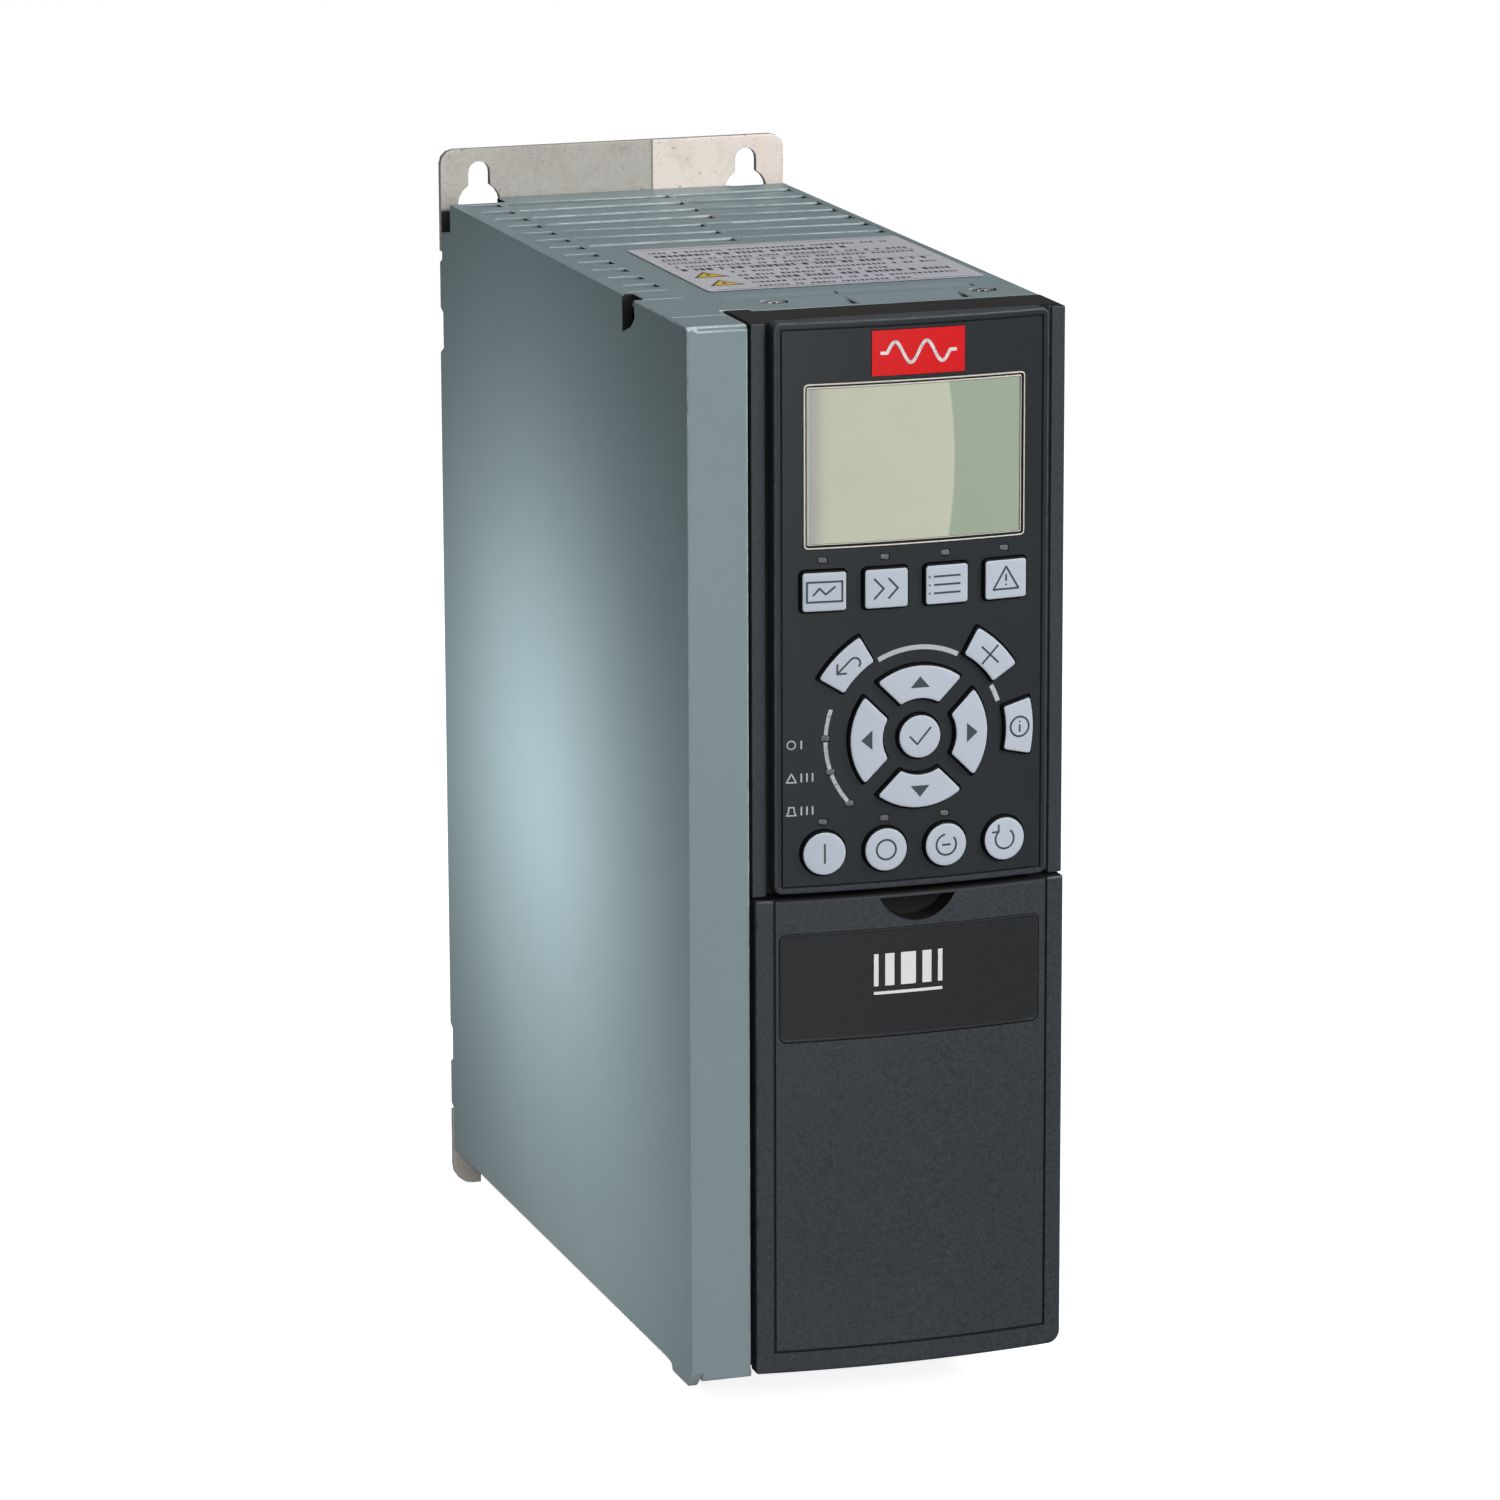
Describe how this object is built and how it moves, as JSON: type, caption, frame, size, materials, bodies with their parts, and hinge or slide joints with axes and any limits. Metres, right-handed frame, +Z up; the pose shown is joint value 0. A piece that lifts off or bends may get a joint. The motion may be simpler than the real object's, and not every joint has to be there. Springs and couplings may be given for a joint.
{
  "type": "variable frequency drive",
  "caption": "Slim wall-mounted variable frequency drive with a pull-out keypad and display panel, a hinged terminal cover, a louvred top and a keyhole mounting plate.",
  "frame": {"origin": "centre of the mounting plate's back face, the plane of the wall", "axes": "+X to the right seen from the front, +Y into the wall, +Z up; the front faces -Y"},
  "size_m": [0.09, 0.2065, 0.268],
  "materials": {
    "grey_plastic": "fine satin moulded",
    "black_plastic": "fine grained moulded",
    "panel_plastic": "smooth satin",
    "key_plastic": "satin",
    "galvanised": "galvanised, speckled",
    "aluminium": "extruded",
    "steel": "zinc plated",
    "window": "clear acrylic",
    "lcd_face": "pale green display",
    "red_badge": "printed gloss",
    "label_foil": "silver foil",
    "dark_label": "satin film",
    "circuit_board": "solder mask",
    "capacitor_sleeve": "shrink sleeve",
    "module_plastic": "moulded",
    "connector_plastic": "moulded",
    "copper_wire": "enamelled wire",
    "core_steel": "laminated",
    "terminal_green": "moulded",
    "silicone": "matt silicone",
    "light_pipe": "clear smoked"
  },
  "bodies": {
    "enclosure": {"mounting_plate": "galvanised", "housing_shell": "grey_plastic", "bottom_tray": "black_plastic", "front_frame": "black_plastic", "rating_label": "label_foil", "deck_screw_left": "steel", "deck_screw_right": "steel", "panel_socket": "connector_plastic", "heatsink": "aluminium", "fan_frame": "black_plastic", "power_board": "circuit_board", "power_module": "module_plastic", "dc_capacitor_1": "capacitor_sleeve", "dc_capacitor_2": "capacitor_sleeve", "dc_capacitor_3": "capacitor_sleeve", "dc_capacitor_4": "capacitor_sleeve", "inner_chassis": "black_plastic", "filter_choke": "copper_wire", "dc_choke": "core_steel", "inrush_relay": "module_plastic", "control_board": "circuit_board", "terminal_base": "black_plastic", "control_terminals_left": "terminal_green", "control_terminals_right": "terminal_green", "relay_terminals": "terminal_green", "mains_terminals": "terminal_green", "brake_terminals": "terminal_green", "motor_terminals": "terminal_green", "cable_clamp": "galvanised"},
    "control_panel": {"panel_bezel": "panel_plastic", "panel_back": "black_plastic", "display_window": "window", "lcd_module": "lcd_face", "panel_board": "circuit_board", "keypad_mat": "silicone", "badge_plate": "red_badge", "panel_connector": "connector_plastic", "menu_lights": "light_pipe", "mode_lights": "light_pipe", "status_lights": "light_pipe"},
    "status_key_body": {"status_key": "key_plastic"},
    "quick_menu_key_body": {"quick_menu_key": "key_plastic"},
    "main_menu_key_body": {"main_menu_key": "key_plastic"},
    "alarm_log_key_body": {"alarm_log_key": "key_plastic"},
    "back_key_body": {"back_key": "key_plastic"},
    "cancel_key_body": {"cancel_key": "key_plastic"},
    "info_key_body": {"info_key": "key_plastic"},
    "ok_key_body": {"ok_key": "key_plastic"},
    "up_key_body": {"up_key": "key_plastic"},
    "down_key_body": {"down_key": "key_plastic"},
    "left_key_body": {"left_key": "key_plastic"},
    "right_key_body": {"right_key": "key_plastic"},
    "hand_on_key_body": {"hand_on_key": "key_plastic"},
    "off_key_body": {"off_key": "key_plastic"},
    "auto_on_key_body": {"auto_on_key": "key_plastic"},
    "reset_key_body": {"reset_key": "key_plastic"},
    "cover": {"terminal_cover": "black_plastic", "cover_label": "dark_label"},
    "fan": {"fan_rotor": "black_plastic"}
  },
  "joints": [
    {"name": "panel_pull", "type": "slide", "parent": "enclosure", "child": "control_panel", "axis": [0, -1, 0], "range_m": [0, 0.03]},
    {"name": "status_key_press", "type": "slide", "parent": "control_panel", "child": "status_key_body", "axis": [0, 1, 0], "range_m": [0, 0.0008], "stiffness_N_per_m": 600},
    {"name": "quick_menu_key_press", "type": "slide", "parent": "control_panel", "child": "quick_menu_key_body", "axis": [0, 1, 0], "range_m": [0, 0.0008], "stiffness_N_per_m": 600},
    {"name": "main_menu_key_press", "type": "slide", "parent": "control_panel", "child": "main_menu_key_body", "axis": [0, 1, 0], "range_m": [0, 0.0008], "stiffness_N_per_m": 600},
    {"name": "alarm_log_key_press", "type": "slide", "parent": "control_panel", "child": "alarm_log_key_body", "axis": [0, 1, 0], "range_m": [0, 0.0008], "stiffness_N_per_m": 600},
    {"name": "back_key_press", "type": "slide", "parent": "control_panel", "child": "back_key_body", "axis": [0, 1, 0], "range_m": [0, 0.0008], "stiffness_N_per_m": 600},
    {"name": "cancel_key_press", "type": "slide", "parent": "control_panel", "child": "cancel_key_body", "axis": [0, 1, 0], "range_m": [0, 0.0008], "stiffness_N_per_m": 600},
    {"name": "info_key_press", "type": "slide", "parent": "control_panel", "child": "info_key_body", "axis": [0, 1, 0], "range_m": [0, 0.0008], "stiffness_N_per_m": 600},
    {"name": "ok_key_press", "type": "slide", "parent": "control_panel", "child": "ok_key_body", "axis": [0, 1, 0], "range_m": [0, 0.0008], "stiffness_N_per_m": 600},
    {"name": "up_key_press", "type": "slide", "parent": "control_panel", "child": "up_key_body", "axis": [0, 1, 0], "range_m": [0, 0.0008], "stiffness_N_per_m": 600},
    {"name": "down_key_press", "type": "slide", "parent": "control_panel", "child": "down_key_body", "axis": [0, 1, 0], "range_m": [0, 0.0008], "stiffness_N_per_m": 600},
    {"name": "left_key_press", "type": "slide", "parent": "control_panel", "child": "left_key_body", "axis": [0, 1, 0], "range_m": [0, 0.0008], "stiffness_N_per_m": 600},
    {"name": "right_key_press", "type": "slide", "parent": "control_panel", "child": "right_key_body", "axis": [0, 1, 0], "range_m": [0, 0.0008], "stiffness_N_per_m": 600},
    {"name": "hand_on_key_press", "type": "slide", "parent": "control_panel", "child": "hand_on_key_body", "axis": [0, 1, 0], "range_m": [0, 0.0008], "stiffness_N_per_m": 600},
    {"name": "off_key_press", "type": "slide", "parent": "control_panel", "child": "off_key_body", "axis": [0, 1, 0], "range_m": [0, 0.0008], "stiffness_N_per_m": 600},
    {"name": "auto_on_key_press", "type": "slide", "parent": "control_panel", "child": "auto_on_key_body", "axis": [0, 1, 0], "range_m": [0, 0.0008], "stiffness_N_per_m": 600},
    {"name": "reset_key_press", "type": "slide", "parent": "control_panel", "child": "reset_key_body", "axis": [0, 1, 0], "range_m": [0, 0.0008], "stiffness_N_per_m": 600},
    {"name": "cover_hinge", "type": "hinge", "parent": "enclosure", "child": "cover", "pos_m": [0, -0.194, -0.121], "axis": [1, 0, 0], "range_deg": [0, 90]},
    {"name": "fan_spin", "type": "hinge", "parent": "enclosure", "child": "fan", "pos_m": [0, -0.0349, -0.121], "axis": [0, 0, 1], "continuous": true}
  ]
}
